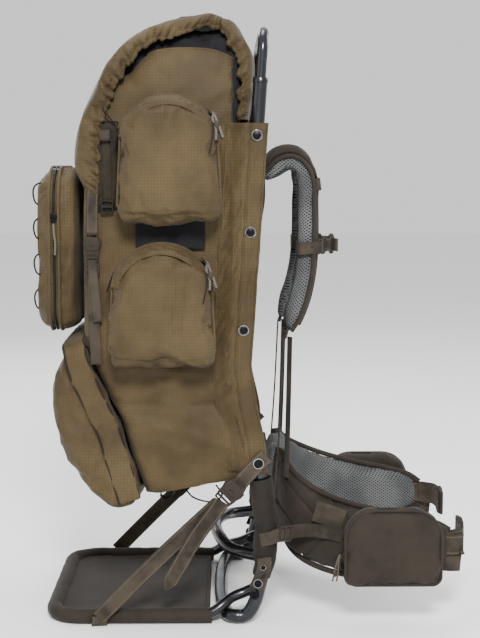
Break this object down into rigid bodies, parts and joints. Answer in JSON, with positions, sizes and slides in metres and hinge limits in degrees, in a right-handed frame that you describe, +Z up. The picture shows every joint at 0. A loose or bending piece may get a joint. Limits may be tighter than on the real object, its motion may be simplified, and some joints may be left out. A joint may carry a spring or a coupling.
{
  "type": "external-frame hunting backpack",
  "caption": "Tubular external-frame pack with a fold-down load shelf, pocketed bag with a hood lid, padded shoulder harness and hip belt.",
  "frame": {"origin": "middle of the whole pack's box, on the surface it stands on", "axes": "+Z up, +Y from the bag to the harness and hip belt, +X the wearer's right"},
  "size_m": [0.478, 0.688, 0.9641],
  "materials": {
    "frame_tube": "dark gunmetal, glossy",
    "steel": "plated",
    "ripstop": "coyote ripstop nylon",
    "nylon": "brown woven nylon",
    "webbing": "woven strap",
    "mesh": "grey spacer mesh over foam",
    "plastic": "moulded, satin"
  },
  "bodies": {
    "pack": {"upright_right": "frame_tube", "upright_left": "frame_tube", "bottom_hoop": "frame_tube", "bow_bar": "frame_tube", "crossbar_upper": "frame_tube", "crossbar_middle": "frame_tube", "frame_pin_right_1": "steel", "frame_pin_right_2": "steel", "frame_pin_right_3": "steel", "frame_pin_right_4": "steel", "frame_pin_left_1": "steel", "frame_pin_left_2": "steel", "frame_pin_left_3": "steel", "frame_pin_left_4": "steel", "shelf_bolt_right": "steel", "shelf_bolt_left": "steel", "main_bag": "ripstop", "hood_back": "ripstop", "front_pocket": "ripstop", "bottom_pocket": "ripstop", "frame_flap_right": "ripstop", "frame_flap_left": "ripstop", "side_pocket_upper_right": "ripstop", "side_pocket_upper_left": "ripstop", "side_pocket_lower_right": "ripstop", "side_pocket_lower_left": "ripstop", "leg_sleeve_right": "nylon", "leg_sleeve_left": "nylon", "lid_catch_right": "webbing", "lid_catch_left": "webbing", "shelf_strap_right": "webbing", "shelf_strap_left": "webbing", "lower_web_right": "webbing", "lower_web_left": "webbing", "lumbar_pad": "mesh", "shelf_buckle_right": "plastic", "shelf_buckle_left": "plastic"},
    "hoop": {"top_hoop": "frame_tube"},
    "shelf": {"shelf_tube": "frame_tube", "shelf_cover": "nylon"},
    "hood_lid": {"lid": "ripstop", "lid_strap_right": "webbing", "lid_strap_left": "webbing"},
    "harness": {"harness_panel": "nylon", "shoulder_pad_right": "mesh", "shoulder_pad_left": "mesh"},
    "sternum": {"sternum_strap": "webbing"},
    "front_zip": {"zip_slider_front": "plastic"},
    "belt_right": {"belt_wing_right": "nylon", "belt_buckle_right": "webbing", "belt_pocket_right": "nylon"},
    "belt_zip_right": {"zip_slider_belt_right": "plastic"},
    "upper_zip_right": {"zip_slider_upper_right": "plastic"},
    "lower_zip_right": {"zip_slider_lower_right": "plastic"},
    "belt_left": {"belt_wing_left": "nylon", "belt_buckle_left": "webbing", "belt_pocket_left": "nylon"},
    "belt_zip_left": {"zip_slider_belt_left": "plastic"},
    "upper_zip_left": {"zip_slider_upper_left": "plastic"},
    "lower_zip_left": {"zip_slider_lower_left": "plastic"}
  },
  "joints": [
    {"name": "top_hoop_slide", "type": "slide", "parent": "pack", "child": "hoop", "axis": [0, 0.0677, 0.9977], "range_m": [-0.012, 0.045]},
    {"name": "shelf_fold", "type": "hinge", "parent": "pack", "child": "shelf", "pos_m": [0, 0.001, 0.05], "axis": [-1, 0, 0], "range_deg": [0, 33], "deforming": ["shelf_strap_right", "shelf_strap_left"]},
    {"name": "lid_open", "type": "hinge", "parent": "pack", "child": "hood_lid", "pos_m": [0, -0.0555, 0.96], "axis": [-1, 0, 0], "range_deg": [0, 100]},
    {"name": "harness_height", "type": "slide", "parent": "pack", "child": "harness", "axis": [0, 0.0677, 0.9977], "range_m": [-0.04, 0.04], "deforming": ["lower_web_right", "lower_web_left"]},
    {"name": "sternum_slide", "type": "slide", "parent": "harness", "child": "sternum", "axis": [0, 0, 1], "range_m": [-0.04, 0.04]},
    {"name": "front_zip_slide", "type": "slide", "parent": "pack", "child": "front_zip", "axis": [0, 0, 1], "range_m": [-0.13, 0.012]},
    {"name": "belt_swing_right", "type": "hinge", "parent": "pack", "child": "belt_right", "pos_m": [0.0875, 0.052, 0.195], "axis": [0, 0, 1], "range_deg": [-20, 15]},
    {"name": "belt_zip_slide_right", "type": "slide", "parent": "belt_right", "child": "belt_zip_right", "axis": [0, 0, 1], "range_m": [-0.012, 0.038]},
    {"name": "upper_zip_run_right", "type": "hinge", "parent": "pack", "child": "upper_zip_right", "pos_m": [0.2075, -0.1295, 0.7455], "axis": [1, 0, 0], "range_deg": [-12, 108]},
    {"name": "lower_zip_run_right", "type": "hinge", "parent": "pack", "child": "lower_zip_right", "pos_m": [0.2075, -0.1412, 0.519], "axis": [1, 0, 0], "range_deg": [-12, 108]},
    {"name": "belt_swing_left", "type": "hinge", "parent": "pack", "child": "belt_left", "pos_m": [-0.0875, 0.052, 0.195], "axis": [0, 0, -1], "range_deg": [-20, 15]},
    {"name": "belt_zip_slide_left", "type": "slide", "parent": "belt_left", "child": "belt_zip_left", "axis": [0, 0, 1], "range_m": [-0.012, 0.038]},
    {"name": "upper_zip_run_left", "type": "hinge", "parent": "pack", "child": "upper_zip_left", "pos_m": [-0.2075, -0.1295, 0.7455], "axis": [1, 0, 0], "range_deg": [-12, 108]},
    {"name": "lower_zip_run_left", "type": "hinge", "parent": "pack", "child": "lower_zip_left", "pos_m": [-0.2075, -0.1412, 0.519], "axis": [1, 0, 0], "range_deg": [-12, 108]}
  ]
}
